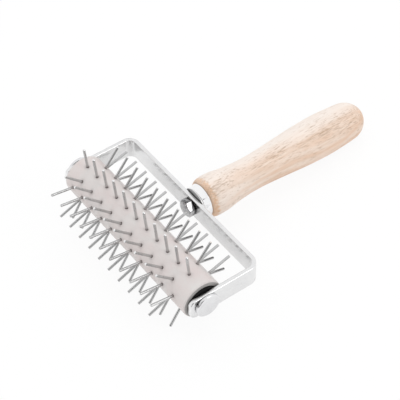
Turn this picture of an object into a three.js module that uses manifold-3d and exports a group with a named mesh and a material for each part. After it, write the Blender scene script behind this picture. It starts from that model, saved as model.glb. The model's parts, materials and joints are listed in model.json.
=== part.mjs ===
// Dough docker: a sleeve set with steel pins, rolling on an axle between the arms of a bent
// steel strap, with a turned wooden handle screwed to the middle of the strap.
// Millimetres. Each piece is drawn with the roller's axis along X through the origin, the
// handle along +Y and +Z up. The whole tool is then laid down as it lies on a table: one row
// of pins and the butt of the handle touch the surface.
import * as THREE from 'three';
import { mergeVertices } from 'three/addons/utils/BufferGeometryUtils.js';
import Module from 'manifold-3d';

const wasm = await Module();
wasm.setup();

// Clearances
const seatGap = 0.3; // between two pieces that seat on each other
const runGap = 0.3; // between a piece that turns and the piece beside or inside it
const cutOverrun = 2; // how far a cutter runs past what it cuts
const weldDistance = 0.0005; // points nearer than this are one point

// Roller sleeve and its pins
const sleeveLength = 118.4;
const sleeveRadius = 12.5;
const sleeveWall = 2.9;
const sleeveEdge = 1.2; // rounding of both outer edges
const pinPitch = 10; // from pin to pin along a row
const pinRadius = 0.8;
const pinReach = 15; // from the sleeve's surface to a pin's end
const pinRootSkin = 0.8; // what is left of the sleeve's wall under a pin's root
const pinEdge = 0.25; // chamfer at a pin's end
const pinEndMargin = 8; // least distance from a long row's outer pins to the sleeve's ends
const pinFieldShift = -1.2; // the rows are set a little nearer to the left end
const rowCount = 10; // long and short rows take turns round the sleeve
const firstRowDegrees = 93.7; // the uppermost long row, turned from +Y towards +Z
const rowDriftDegrees = [2, 5, 5, 1, 0, 0, 0, -2, -4, -6]; // the rows are spaced a little unevenly

// End plugs, pressed into the sleeve
const plugLength = 14;
const plugStandout = 0.6; // the plug's face stands this far out of the sleeve
const plugEdge = 0.4;
const plugSkirt = 1.6; // wall of the plug's outer skirt
const plugWeb = 2.6; // thickness of the plug's face
const plugHub = 2.4; // wall of the hub that runs on the axle

// Strap frame, bent from one flat bar
const strapWidth = 13.5;
const strapThickness = 2.5;
const strapBend = 4.5; // inner radius of its two bends
const armOverhang = 10.5; // the arms run this far past the axle
const armCorner = 4; // radius of the arms' end corners

// Axle, with a formed head on the right and a riveted disc on the left
const axleRadius = 3;
const axleHeadRadius = 7.6;
const axleHeadThickness = 2;
const axleHeadEdge = 0.35;
const rivetFlare = 1; // how much wider the riveted end is than the rod

// Screw through the strap into the handle
const screwRadius = 3;
const screwLength = 20; // under the head
const screwTipEdge = 0.6; // chamfer at its end
const screwHexFlats = 10;
const screwHeadHeight = 4;
const screwHeadEdge = 0.5;
const screwTurnDegrees = 47; // the face of one flat, turned from +X towards +Z
const pinToScrew = 3.5; // from the circle of the pins' ends to the screw's head

// Threaded insert that the screw holds in: it is driven into the handle's front end
const insertLength = 13;
const insertRadius = 5; // over its ridges
const insertRidge = 0.8; // how far each ridge stands out
const insertRidgePitch = 1.8;
const insertRim = 1.2; // plain stretch at each end

// Collar and ferrule between the strap and the handle
const collarRadius = 9.9;
const collarThickness = 0.6;
const collarEdge = 0.15;
const ferruleRadius = 10.4; // at its rim, next to the wood
const ferruleTaper = 1.2; // how much narrower it is at the front
const ferruleLength = 4.5;
const ferruleWall = 0.8;
const ferruleEdge = 1; // radius of the edge next to the collar

// Handle, which starts as wide as the ferrule
const handleLength = 120.2; // from the shoulder to the butt's end
const handleNeck = 12.55; // radius behind the rounded shoulder
const handleWaist = 10.3;
const handlePalm = 13.15;
const handleButt = 12.15; // where the rounded butt begins
const handleButtLength = 13.5;

// The handle's outline as [place, radius] pairs, as shares of its length and of the neck's
// radius up to the waist, and of the palm's radius after it
const handleNeckShares = [
  [0.006, 0.908], [0.027, 0.985], [0.053, 1], [0.094, 0.987], [0.136, 0.925], [0.198, 0.861],
];
const handleWaistShare = 0.31;
const handlePalmShares = [[0.493, 0.89], [0.593, 0.957], [0.726, 1], [0.817, 0.97]];

// Facets
const roundSides = 36;
const pinSides = 8;
const hexSides = 6;
const arcSteps = 6;
const edgeSteps = 3;
const handleSteps = 20;

// Sizes that follow from the ones above
const boreRadius = sleeveRadius - sleeveWall;
const pinTipRadius = sleeveRadius + pinReach;
const rollerHalf = sleeveLength / 2 + plugStandout;
const armInside = rollerHalf + runGap;
const armOutside = armInside + strapThickness;
const screwSeat = pinTipRadius + pinToScrew + screwHeadHeight;
const screwTip = screwSeat + screwLength;
const barInside = screwSeat + seatGap;
const barOutside = barInside + strapThickness;
const collarBack = barOutside + seatGap;
const collarFront = collarBack + collarThickness;
const ferruleBack = collarFront + seatGap;
const ferruleFront = ferruleRadius - ferruleTaper;
const ferruleRim = ferruleBack + ferruleLength;
const spigotFace = ferruleBack + ferruleWall + seatGap;
const insertEnd = spigotFace + insertLength;
const shoulderAt = ferruleRim + seatGap;
const handleEnd = shoulderAt + handleLength;
const buttAt = handleEnd - handleButtLength;

// A closed mesh as a solid that can be joined and cut
function toSolid(geometry) {
  const bare = geometry.clone();
  bare.deleteAttribute('normal');
  bare.deleteAttribute('uv');
  const welded = mergeVertices(bare, weldDistance);
  const corners = welded.index.array;
  const kept = [];
  for (let i = 0; i < corners.length; i += 3) {
    const [a, b, c] = corners.slice(i, i + 3);
    if (a !== b && b !== c && c !== a) kept.push(a, b, c);
  }
  return new wasm.Manifold(new wasm.Mesh({
    numProp: 3,
    vertProperties: welded.attributes.position.array,
    triVerts: new Uint32Array(kept),
  }));
}

// A solid back as a mesh
function toGeometry(solid) {
  const { vertProperties, triVerts } = solid.getMesh();
  const geometry = new THREE.BufferGeometry();
  geometry.setAttribute('position', new THREE.BufferAttribute(vertProperties, 3));
  geometry.setIndex(new THREE.BufferAttribute(triVerts, 1));
  geometry.computeVertexNormals();
  return geometry;
}

// A profile of [radius, place] pairs turned about the handle's axis, +Y
function turned(profile, sides = roundSides) {
  const points = profile.map(([radius, place]) => new THREE.Vector2(radius, place));
  return new THREE.LatheGeometry(points, sides);
}

// The same about the roller's axis, +X
function turnedAlongX(profile) {
  return turned(profile).rotateZ(-Math.PI / 2);
}

// A ring's profile ends where it starts
function ring(profile) {
  return [...profile, profile[0]];
}

// A round bar's profile starts and ends on the axis
function bar(radius, from, to) {
  return [[0, from], [radius, from], [radius, to], [0, to]];
}

// A round or flattened quarter of an outline, as [radius, place] pairs
function quarter(centreRadius, centrePlace, width, length, fromAngle, steps = arcSteps) {
  const toAngle = fromAngle + Math.PI / 2;
  const curve = new THREE.EllipseCurve(centreRadius, centrePlace, width, length, fromAngle, toAngle);
  return curve.getPoints(steps).map(({ x, y }) => [x, y]);
}

// The same with an even radius, for a rounded edge
function roundedEdge(centreRadius, centrePlace, radius, fromAngle) {
  return quarter(centreRadius, centrePlace, radius, radius, fromAngle, edgeSteps);
}

// Sleeve: a plain tube with rounded outer edges
function makeSleeve() {
  const half = sleeveLength / 2;
  const edgeRadius = sleeveRadius - sleeveEdge;
  const edgePlace = half - sleeveEdge;
  return toSolid(turnedAlongX(ring([
    [boreRadius, -half],
    ...roundedEdge(edgeRadius, -edgePlace, sleeveEdge, -Math.PI / 2),
    ...roundedEdge(edgeRadius, edgePlace, sleeveEdge, 0),
    [boreRadius, half],
  ])));
}

// One pin, rooted in the sleeve's wall and standing out along +Y
function makePin() {
  return turned([
    [0, boreRadius + pinRootSkin],
    [pinRadius, boreRadius + pinRootSkin],
    [pinRadius, pinTipRadius - pinEdge],
    [pinRadius - pinEdge, pinTipRadius],
    [0, pinTipRadius],
  ], pinSides);
}

// The pins are moulded into the sleeve: every second row is a pin shorter and half a pitch along
function makePinRoller() {
  const longRowPins = Math.floor((sleeveLength - 2 * pinEndMargin) / pinPitch) + 1;
  const pins = [];
  for (let row = 0; row < rowCount; row += 1) {
    const pinCount = longRowPins - (row % 2);
    const drift = rowDriftDegrees[row % rowDriftDegrees.length];
    const turn = THREE.MathUtils.degToRad(firstRowDegrees + drift + (360 / rowCount) * row);
    for (let place = 0; place < pinCount; place += 1) {
      const along = pinFieldShift + (place - (pinCount - 1) / 2) * pinPitch;
      pins.push(toSolid(makePin().rotateX(turn).translate(along, 0, 0)));
    }
  }
  return toGeometry(wasm.Manifold.union([makeSleeve(), ...pins]));
}

// End plug: a face, a skirt inside the sleeve and a hub that runs on the axle. side is 1 or -1.
function makePlug(side) {
  const outer = boreRadius - seatGap;
  const skirt = outer - plugSkirt;
  const bore = axleRadius + runGap;
  const hub = bore + plugHub;
  const inner = rollerHalf - plugLength;
  const plug = turnedAlongX(ring([
    [bore, inner],
    [hub, inner],
    [hub, rollerHalf - plugWeb],
    [skirt, rollerHalf - plugWeb],
    [skirt, inner],
    [outer, inner],
    [outer, rollerHalf - plugEdge],
    [outer - plugEdge, rollerHalf],
    [bore, rollerHalf],
  ]));
  return toGeometry(toSolid(side > 0 ? plug : plug.rotateY(Math.PI)));
}

// The strap seen from above: a U of even thickness with two round bends
function strapOutline() {
  const outerBend = strapBend + strapThickness;
  const bendX = armInside - strapBend;
  const bendY = barInside - strapBend;
  const shape = new THREE.Shape();
  shape.moveTo(armInside, -armOverhang);
  shape.lineTo(armOutside, -armOverhang);
  shape.absarc(bendX, bendY, outerBend, 0, Math.PI / 2);
  shape.absarc(-bendX, bendY, outerBend, Math.PI / 2, Math.PI);
  shape.lineTo(-armOutside, -armOverhang);
  shape.lineTo(-armInside, -armOverhang);
  shape.absarc(-bendX, bendY, strapBend, Math.PI, Math.PI / 2, true);
  shape.absarc(bendX, bendY, strapBend, Math.PI / 2, 0, true);
  shape.closePath();
  return shape;
}

// The strap seen from the side: its width, with the arms' end corners rounded
function strapSideOutline() {
  const half = strapWidth / 2;
  const corner = Math.min(armCorner, half);
  const cornerY = corner - armOverhang;
  const cornerZ = half - corner;
  const pastBar = barOutside + cutOverrun;
  const shape = new THREE.Shape();
  shape.moveTo(pastBar, -half);
  shape.lineTo(pastBar, half);
  shape.absarc(cornerY, cornerZ, corner, Math.PI / 2, Math.PI);
  shape.absarc(cornerY, -cornerZ, corner, Math.PI, Math.PI * 1.5);
  shape.closePath();
  return shape;
}

// An outline given depth to both sides of its own plane
function slab(outline, depth) {
  return new THREE.ExtrudeGeometry(outline, { depth, bevelEnabled: false, curveSegments: arcSteps })
    .translate(0, 0, -depth / 2);
}

function makeStrap() {
  const span = 2 * (armOutside + cutOverrun);
  // The side outline's own axes are the tool's Y and Z, and its depth lies along X
  const turnToSide = new THREE.Matrix4().makeBasis(
    new THREE.Vector3(0, 1, 0), new THREE.Vector3(0, 0, 1), new THREE.Vector3(1, 0, 0),
  );
  const fromAbove = toSolid(slab(strapOutline(), strapWidth));
  const fromSide = toSolid(slab(strapSideOutline(), span).applyMatrix4(turnToSide));
  const axleHoles = toSolid(turnedAlongX(bar(axleRadius + seatGap, -span / 2, span / 2)));
  const screwHole = toSolid(turned(
    bar(screwRadius + seatGap, barInside - cutOverrun, barOutside + cutOverrun),
  ));
  return toGeometry(fromAbove.intersect(fromSide).subtract(axleHoles).subtract(screwHole));
}

// Axle: a rod with a flat round head outside the right arm. Its left end is spread into the
// countersink of the disc outside the left arm.
function makeAxle() {
  const headBack = armOutside + seatGap;
  const headFace = headBack + axleHeadThickness;
  return toGeometry(toSolid(turnedAlongX([
    [0, -headFace],
    [axleRadius + rivetFlare, -headFace],
    [axleRadius, -headFace + rivetFlare],
    [axleRadius, headBack],
    [axleHeadRadius, headBack],
    [axleHeadRadius, headFace - axleHeadEdge],
    [axleHeadRadius - axleHeadEdge, headFace],
    [0, headFace],
  ])));
}

function makeAxleDisc() {
  const back = armOutside + seatGap;
  const face = back + axleHeadThickness;
  const hole = axleRadius + seatGap;
  return toGeometry(toSolid(turnedAlongX(ring([
    [hole + rivetFlare, -face],
    [axleHeadRadius - axleHeadEdge, -face],
    [axleHeadRadius, -face + axleHeadEdge],
    [axleHeadRadius, -back],
    [hole, -back],
    [hole, -face + rivetFlare],
  ]))));
}

// Screw: a hexagon head with its corners turned off, and a plain shank
function makeScrew() {
  const top = screwSeat - screwHeadHeight;
  const corner = screwHexFlats / 2 / Math.cos(Math.PI / hexSides);
  const hexagon = new THREE.CylinderGeometry(corner, corner, screwHeadHeight, hexSides)
    .rotateY(-THREE.MathUtils.degToRad(screwTurnDegrees))
    .translate(0, top + screwHeadHeight / 2, 0);
  const cornersOff = turned([
    [0, top],
    [corner - 2 * screwHeadEdge, top],
    [corner, top + screwHeadEdge],
    [corner, screwSeat],
    [0, screwSeat],
  ]);
  const shank = turned([
    [0, top + screwHeadEdge],
    [screwRadius, top + screwHeadEdge],
    [screwRadius, screwTip - screwTipEdge],
    [screwRadius - screwTipEdge, screwTip],
    [0, screwTip],
  ]);
  return toGeometry(toSolid(hexagon).intersect(toSolid(cornersOff)).add(toSolid(shank)));
}

// Insert: a bush with sharp ridges that hold it in the wood
function makeInsert() {
  const bore = screwRadius + seatGap;
  const core = insertRadius - insertRidge;
  const ridges = Math.floor((insertLength - 2 * insertRim) / insertRidgePitch);
  const firstRidge = spigotFace + (insertLength - ridges * insertRidgePitch) / 2;
  const outside = [[core, spigotFace], [core, firstRidge]];
  for (let ridge = 0; ridge < ridges; ridge += 1) {
    const start = firstRidge + ridge * insertRidgePitch;
    outside.push([insertRadius, start + insertRidgePitch / 2], [core, start + insertRidgePitch]);
  }
  return toGeometry(toSolid(turned(ring([
    [bore, spigotFace],
    ...outside,
    [core, insertEnd],
    [bore, insertEnd],
  ]))));
}

// Collar: a thin washer between the strap and the ferrule
function makeCollar() {
  const hole = screwRadius + seatGap;
  return toGeometry(toSolid(turned(ring([
    [hole, collarBack],
    [collarRadius - collarEdge, collarBack],
    [collarRadius, collarBack + collarEdge],
    [collarRadius, collarFront - collarEdge],
    [collarRadius - collarEdge, collarFront],
    [hole, collarFront],
  ]))));
}

// Ferrule: a drawn cup over the handle's spigot, wider towards the wood, with a hole for the screw
function makeFerrule() {
  const hole = screwRadius + seatGap;
  const edgePlace = ferruleBack + ferruleEdge;
  return toGeometry(toSolid(turned(ring([
    [hole, ferruleBack],
    ...roundedEdge(ferruleFront - ferruleEdge, edgePlace, ferruleEdge, -Math.PI / 2),
    [ferruleRadius, ferruleRim],
    [ferruleRadius - ferruleWall, ferruleRim],
    [ferruleFront - ferruleWall, edgePlace],
    [ferruleFront - ferruleWall, ferruleBack + ferruleWall],
    [hole, ferruleBack + ferruleWall],
  ]))));
}

// The handle's outline from its shoulder to where the butt begins, as one smooth curve
function handleOutline() {
  const station = (placeShare, radius) => [radius, shoulderAt + handleLength * placeShare];
  const stations = [
    [ferruleRadius, shoulderAt],
    ...handleNeckShares.map(([place, radius]) => station(place, handleNeck * radius)),
    station(handleWaistShare, handleWaist),
    ...handlePalmShares.map(([place, radius]) => station(place, handlePalm * radius)),
    [handleButt, buttAt],
  ].map(([radius, place]) => new THREE.Vector2(radius, place));
  return new THREE.SplineCurve(stations).getPoints(handleSteps).map(({ x, y }) => [x, y]);
}

// Handle: tapered spigot, rounded shoulder, neck, waist, palm swell and round butt. Its front end
// is bored for the insert, and a narrower bore goes on past the screw's end by its own radius.
function makeHandle() {
  const spigotInset = ferruleWall + seatGap;
  const bore = screwRadius + seatGap;
  const boreEnd = Math.max(screwTip, insertEnd) + bore;
  const seat = insertRadius + seatGap;
  const seatEnd = insertEnd + seatGap;
  const butt = quarter(0, buttAt, handleButt, handleButtLength, 0).slice(1, -1);
  return toGeometry(toSolid(turned([
    [0, boreEnd],
    [bore, boreEnd],
    [bore, seatEnd],
    [seat, seatEnd],
    [seat, spigotFace],
    [ferruleFront - spigotInset, spigotFace],
    [ferruleRadius - spigotInset, ferruleRim],
    [ferruleRadius - spigotInset, shoulderAt],
    ...handleOutline(),
    ...butt,
    [0, handleEnd],
  ])));
}

// Finishes
const steel = { color: 0xc4c6c8, roughness: 0.25, metalness: 1 };
const brass = { color: 0xc8a558, roughness: 0.35, metalness: 1 };
const darkSteel = { color: 0x77797b, roughness: 0.35, metalness: 1 };
const sleevePlastic = { color: 0xd2cbc6, roughness: 0.55, metalness: 0 };
const plugPlastic = { color: 0x151515, roughness: 0.6, metalness: 0 };
const wood = { color: 0xe0c4a4, roughness: 0.6, metalness: 0 };

function piece(name, geometry, finish) {
  const mesh = new THREE.Mesh(geometry, new THREE.MeshStandardMaterial(finish));
  mesh.name = name;
  return mesh;
}

const tool = new THREE.Group();
tool.add(
  piece('frame_strap', makeStrap(), steel),
  piece('axle_rod', makeAxle(), steel),
  piece('axle_end_disc', makeAxleDisc(), steel),
  piece('pin_roller', makePinRoller(), sleevePlastic),
  piece('end_plug_left', makePlug(-1), plugPlastic),
  piece('end_plug_right', makePlug(1), plugPlastic),
  piece('handle_screw', makeScrew(), steel),
  piece('handle_insert', makeInsert(), brass),
  piece('collar', makeCollar(), darkSteel),
  piece('ferrule', makeFerrule(), steel),
  piece('handle', makeHandle(), wood),
);

// The tool lies on a row of pins and on the start of the butt: the angle between the handle
// and the surface follows from the height of the axle and the place and radius of the butt
const buttDistance = Math.hypot(buttAt, handleButt);
tool.rotation.x = Math.atan2(handleButt, buttAt) - Math.asin(pinTipRadius / buttDistance);

// The origin is on that surface, under the middle of the tool
const part = new THREE.Group();
part.add(tool);
part.updateMatrixWorld(true);
const bounds = new THREE.Box3().setFromObject(part, true);
tool.position.set(0, -(bounds.min.y + bounds.max.y) / 2, -bounds.min.z);
part.updateMatrixWorld(true);

export default part;
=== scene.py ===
# %% [markdown]
# # A rolling dough docker
# The tool pricks rolled-out dough. A plastic sleeve set with steel pins turns on an axle
# between the arms of a bent steel strap, and a turned wooden handle is screwed to the strap.
# This lesson dresses the measured model: each piece is made again as a fine mesh in the place
# that the frame gives it, and gets the finish of the real one.

# %% Load the measured frame
import json
import math

import bmesh
import bpy
from mathutils import Matrix, Vector


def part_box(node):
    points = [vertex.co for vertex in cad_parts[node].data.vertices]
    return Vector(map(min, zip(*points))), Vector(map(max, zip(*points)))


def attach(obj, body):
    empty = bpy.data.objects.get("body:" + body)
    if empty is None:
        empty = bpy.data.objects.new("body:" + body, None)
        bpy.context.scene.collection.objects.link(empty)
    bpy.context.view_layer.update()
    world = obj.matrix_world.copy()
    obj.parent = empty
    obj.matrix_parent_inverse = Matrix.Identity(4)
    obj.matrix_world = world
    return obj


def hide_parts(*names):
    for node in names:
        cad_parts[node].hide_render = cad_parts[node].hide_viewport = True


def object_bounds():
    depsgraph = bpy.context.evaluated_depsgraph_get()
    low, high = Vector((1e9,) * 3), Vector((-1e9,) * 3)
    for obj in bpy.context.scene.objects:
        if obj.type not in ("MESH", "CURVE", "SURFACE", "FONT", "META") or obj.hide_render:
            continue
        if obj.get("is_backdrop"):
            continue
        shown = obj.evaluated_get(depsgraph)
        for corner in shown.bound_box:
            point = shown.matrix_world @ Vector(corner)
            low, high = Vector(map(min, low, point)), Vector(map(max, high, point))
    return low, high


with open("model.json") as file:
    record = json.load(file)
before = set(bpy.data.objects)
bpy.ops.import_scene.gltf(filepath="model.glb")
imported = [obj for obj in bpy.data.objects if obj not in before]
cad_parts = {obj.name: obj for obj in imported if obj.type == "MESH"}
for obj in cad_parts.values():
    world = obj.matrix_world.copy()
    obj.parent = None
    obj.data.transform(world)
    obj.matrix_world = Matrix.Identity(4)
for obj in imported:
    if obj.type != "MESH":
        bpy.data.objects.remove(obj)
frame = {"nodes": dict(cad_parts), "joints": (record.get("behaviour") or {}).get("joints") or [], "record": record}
cad_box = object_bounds()
nodes = frame["nodes"]
MM = 0.001
print("nodes:", ", ".join(sorted(nodes)))

# %% [markdown]
# The tool lies on a table on one row of pins and on its handle, so it is tilted by a few
# degrees. Every piece is simpler in the tool's own axes: X along the roller, Y along the
# handle and Z square to the strap's edges. The record says where these are, so one matrix
# takes a piece from the tool's axes to the place where it lies.

# %% The tool's own axes
joint = frame["joints"][0]
edge_mount = next(m for m in frame["record"]["mounts"] if m["name"] == "frame_edge_upper")
tool_x = Vector(joint["axis"]).normalized()
tool_z = Vector(edge_mount["axis"]).normalized()
tool_y = tool_z.cross(tool_x)
turn = Matrix((tool_x, tool_y, tool_z)).transposed().to_4x4()
TOOL = Matrix.Translation(Vector(joint["pos_m"])) @ turn
FROM_TABLE = TOOL.inverted()
print(f"the handle slopes by {math.degrees(math.asin(tool_y.z)):.2f} degrees")


def measured(node):
    """The corners of a node's mesh, in the tool's axes."""
    return [FROM_TABLE @ v.co for v in nodes[node].data.vertices]


# %% [markdown]
# The camera comes first, so that every later step can be compared with the photograph. It was
# fitted to the pins, the strap and the outlines of the sleeve and the handle. It looks down
# from the right front, from far away with a long lens, which keeps the pin rows almost
# parallel.

# %% Camera
scene = bpy.context.scene


def placed(name, data):
    """A new object in the scene, with its data."""
    made = bpy.data.objects.new(name, data)
    scene.collection.objects.link(made)
    return made


CAMERA_PLACE = Vector((415.85, -263.27, 565.24)) * MM
CAMERA_AZIMUTH = math.radians(53.72)
CAMERA_ELEVATION = math.radians(47.58)
CAMERA_ROLL = math.radians(-0.23)
CAMERA_LENS = 118.79
NEAREST_SEEN = 10 * MM

back = Vector((
    math.sin(CAMERA_AZIMUTH) * math.cos(CAMERA_ELEVATION),
    -math.cos(CAMERA_AZIMUTH) * math.cos(CAMERA_ELEVATION),
    math.sin(CAMERA_ELEVATION),
))
level = Vector((math.cos(CAMERA_AZIMUTH), math.sin(CAMERA_AZIMUTH), 0))
upright = back.cross(level)
right = level * math.cos(CAMERA_ROLL) + upright * math.sin(CAMERA_ROLL)
up = upright * math.cos(CAMERA_ROLL) - level * math.sin(CAMERA_ROLL)
look = Matrix((right, up, back)).transposed().to_4x4()

camera = placed("camera", bpy.data.cameras.new("camera"))
camera.data.lens = CAMERA_LENS
camera.data.clip_start = NEAREST_SEEN
camera.matrix_world = TOOL @ Matrix.Translation(CAMERA_PLACE) @ look
scene.camera = camera
print("camera at", [round(c, 3) for c in camera.matrix_world.translation])

# %% [markdown]
# Blender's nodes are the same in a material, a world and a Geometry Nodes tree: a node has
# settings, and its inputs take a number or a link. So a few helpers serve the whole lesson.


# %% Helpers for nodes
FIRST_COLOR = 6
SECOND_COLOR = 7
MIXED_COLOR = 2


def is_socket(value):
    """True for a node's socket, False for a plain value."""
    return isinstance(value, bpy.types.NodeSocket)


def add_node(tree, kind, values, **settings):
    """A node with its settings. Each input named or counted in values takes a socket or a value."""
    node = tree.nodes.new(kind)
    for key, value in settings.items():
        setattr(node, key, value)
    for label, value in values.items():
        if is_socket(value):
            tree.links.new(value, node.inputs[label])
        else:
            node.inputs[label].default_value = value
    return node


def calc(tree, operation, first, second=0.0):
    """One step of arithmetic on numbers or sockets."""
    return add_node(tree, "ShaderNodeMath", {0: first, 1: second}, operation=operation).outputs[0]


def plus(tree, first, second):
    """The sum of two numbers or sockets."""
    return calc(tree, "ADD", first, second)


def times(tree, first, second):
    """The product of two numbers or sockets."""
    return calc(tree, "MULTIPLY", first, second)


def spread(tree, value, low, high, new_low=0.0, new_high=1.0):
    """Carry a value that runs from low to high over to another range, and stop at its ends."""
    node = add_node(tree, "ShaderNodeMapRange", {
        "Value": value, "From Min": low, "From Max": high, "To Min": new_low, "To Max": new_high,
    })
    return node.outputs["Result"]


def vector_math(tree, operation, values, result="Vector"):
    """One step of arithmetic on vectors. A length or a dot product is the result "Value"."""
    return add_node(tree, "ShaderNodeVectorMath", values, operation=operation).outputs[result]


def combined(tree, values):
    """A vector of its parts 0, 1 and 2. A part that is left out is 0."""
    return add_node(tree, "ShaderNodeCombineXYZ", values).outputs[0]


def parts_of(tree, vector):
    """The three parts of a vector."""
    return add_node(tree, "ShaderNodeSeparateXYZ", {0: vector}).outputs


def tint(tree, amount, color, other):
    """The first colour where the amount is 0, the other where it is 1."""
    first, second = (c if is_socket(c) else (*c, 1) for c in (color, other))
    node = add_node(tree, "ShaderNodeMix", {
        0: amount, FIRST_COLOR: first, SECOND_COLOR: second,
    }, data_type="RGBA")
    return node.outputs[MIXED_COLOR]


def coated_color(tree, base, coats):
    """A colour with coats over it. Each coat is an amount and the colour that it brings."""
    for amount, color in coats:
        base = tint(tree, amount, base, color)
    return base


def bare_material(name):
    """A new material whose node tree is empty, and that tree."""
    material = bpy.data.materials.new(name)
    material.use_nodes = True
    material.node_tree.nodes.clear()
    return material, material.node_tree


print("node helpers ready")

# %% [markdown]
# A cut-out product picture has a white ground and soft light from all round. A large soft lamp
# hangs over the tool, out of the reach of reflections, so that metal sees only the even white
# round it. A weak low lamp in front, out of their reach too, lifts the sleeve's lower side. A
# smaller lamp behind the tool on the right brightens the facets that face it. The world is
# white where the camera or polished metal looks at it, and weaker as a light.
# The floor is a sheet of white paper: the camera sees it mostly as plain white, and what is
# left of its own shading keeps a faint shadow. Metal sees more of that shading.

# %% World and lamps
WORLD_LIGHT = 0.66
WHITE = (1, 1, 1, 1)
MIDDLE = (0, 0, 0.02)

scene.view_settings.view_transform = "Standard"
world = bpy.data.worlds.new("studio")
scene.world = world
world.use_nodes = True
tree = world.node_tree
tree.nodes.clear()


def looked_at(tree, by_camera, by_gloss):
    """One value for the camera's rays, one for those of reflections and glass, 0 for light."""
    paths = add_node(tree, "ShaderNodeLightPath", {}).outputs
    gloss = calc(tree, "MAXIMUM", paths["Is Glossy Ray"], paths["Is Transmission Ray"])
    camera_share = times(tree, paths["Is Camera Ray"], by_camera)
    return calc(tree, "MAXIMUM", camera_share, times(tree, gloss, by_gloss))


strength = spread(tree, looked_at(tree, 1, 1), 0, 1, WORLD_LIGHT, 1)
sky = add_node(tree, "ShaderNodeBackground", {"Color": WHITE, "Strength": strength})
add_node(tree, "ShaderNodeOutputWorld", {"Surface": sky.outputs["Background"]})


def lamp(name, place, width, watts, in_reflections):
    """A square soft lamp that faces the tool. Places are in metres."""
    data = bpy.data.lights.new(name, "AREA")
    data.shape = "SQUARE"
    data.size = width
    data.energy = watts
    made = placed(name, data)
    made.location = place
    made.rotation_euler = (Vector(MIDDLE) - Vector(place)).to_track_quat("-Z", "Y").to_euler()
    made.visible_glossy = in_reflections


lamp("key_lamp", (-0.3, 0.15, 1.15), width=1.5, watts=6.8, in_reflections=False)
lamp("front_lamp", (0.1, -0.9, 0.12), width=0.6, watts=1.4, in_reflections=False)
lamp("rim_lamp", (0.84, 0.48, 0.73), width=0.5, watts=2.0, in_reflections=True)
print("three lamps and a white world")

# %% Floor
FLOOR_HALF = 3.0
FLOOR_DROP = 0.2 * MM
WHITE_FOR_CAMERA = 0.91
WHITE_FOR_GLOSS = 0.48
PAPER = (0.97, 0.97, 0.97, 1)
SQUARE = ((-1, -1), (1, -1), (1, 1), (-1, 1))

floor_material, tree = bare_material("white_paper")
paper = add_node(tree, "ShaderNodeBsdfDiffuse", {"Color": PAPER})
plain_white = add_node(tree, "ShaderNodeEmission", {"Color": WHITE, "Strength": 1.0})
blend = add_node(tree, "ShaderNodeMixShader", {
    0: looked_at(tree, WHITE_FOR_CAMERA, WHITE_FOR_GLOSS),
    1: paper.outputs["BSDF"], 2: plain_white.outputs["Emission"],
})
add_node(tree, "ShaderNodeOutputMaterial", {"Surface": blend.outputs["Shader"]})


def sheet(name, corners, material):
    """A flat sheet between four corners. It is part of the stage, and not of the tool."""
    mesh = bpy.data.meshes.new(name)
    mesh.from_pydata(corners, [], [(0, 1, 2, 3)])
    mesh.materials.append(material)
    made = placed(name, mesh)
    made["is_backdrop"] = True
    return made


sheet("floor", [(x * FLOOR_HALF, y * FLOOR_HALF, -FLOOR_DROP) for x, y in SQUARE], floor_material)
print("floor laid")

# %% [markdown]
# Polished steel shows only what stands round it, and in an all-white room it would look like
# white plastic. A photographer puts up black cards that the lens doesn't see, so that the
# facets and the pins get their dark side. The cards take no light away from the tool: only
# reflections see them.

# %% Black cards
FELT = (0.01, 0.01, 0.01, 1)

black_card, tree = bare_material("black_card")
felt = add_node(tree, "ShaderNodeBsdfDiffuse", {"Color": FELT})
add_node(tree, "ShaderNodeOutputMaterial", {"Surface": felt.outputs["BSDF"]})


def card(name, place, width, height):
    """A black card at a place in metres, facing the tool."""
    centre = Vector(place)
    away = (centre - Vector(MIDDLE)).normalized()
    side = Vector((0, 0, 1)).cross(away).normalized() * (width / 2)
    rise = away.cross(side).normalized() * (height / 2)
    made = sheet(name, [centre + side * x + rise * y for x, y in SQUARE], black_card)
    made.visible_camera = False
    made.visible_diffuse = False
    made.visible_shadow = False


card("card_left", (-0.6, 0.28, 0.24), width=0.17, height=0.15)
card("card_front", (0.26, -0.36, 0.09), width=0.5, height=0.18)
card("card_high", (0.28, -0.52, 0.62), width=0.95, height=0.5)
card("card_side", (0.6, -0.38, 0.3), width=0.26, height=0.4)
print("four black cards")

# %% [markdown]
# Every finish below is procedural. An effect that several finishes share is built once, as a
# shader node group with named inputs and outputs. The first one gives each point's place in
# the tool's own axes, in millimetres, so the sizes of a pattern can be thought of as on a
# drawing.


# %% Helpers for effects
def effect(name, inputs, outputs, kind="NodeSocketFloat"):
    """An empty shader node group, with its inputs' sockets inside and its outputs'.

    An input is a number and has a usual value, or it is a vector and has None.
    """
    group = bpy.data.node_groups.new(name, "ShaderNodeTree")
    for label, value in inputs:
        given_kind = "NodeSocketVector" if value is None else "NodeSocketFloat"
        socket = group.interface.new_socket(name=label, in_out="INPUT", socket_type=given_kind)
        if value is not None:
            socket.default_value = value
    for label in outputs:
        group.interface.new_socket(name=label, in_out="OUTPUT", socket_type=kind)
    inside = group.nodes.new("NodeGroupInput").outputs
    return group, inside, group.nodes.new("NodeGroupOutput").inputs


def use(tree, group, values):
    """Place a group in a material with its own values, and give its outputs."""
    return add_node(tree, "ShaderNodeGroup", values, node_tree=group).outputs


def cloud(tree, vector, size, detail=2.0, rough=0.5, bend=0.0):
    """Soft noise whose patches have about that size."""
    scale = calc(tree, "DIVIDE", 1.0, size) if is_socket(size) else 1 / size
    node = add_node(tree, "ShaderNodeTexNoise", {
        "Vector": vector, "Scale": scale, "Detail": detail, "Roughness": rough, "Distortion": bend,
    })
    return node.outputs[0]


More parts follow.
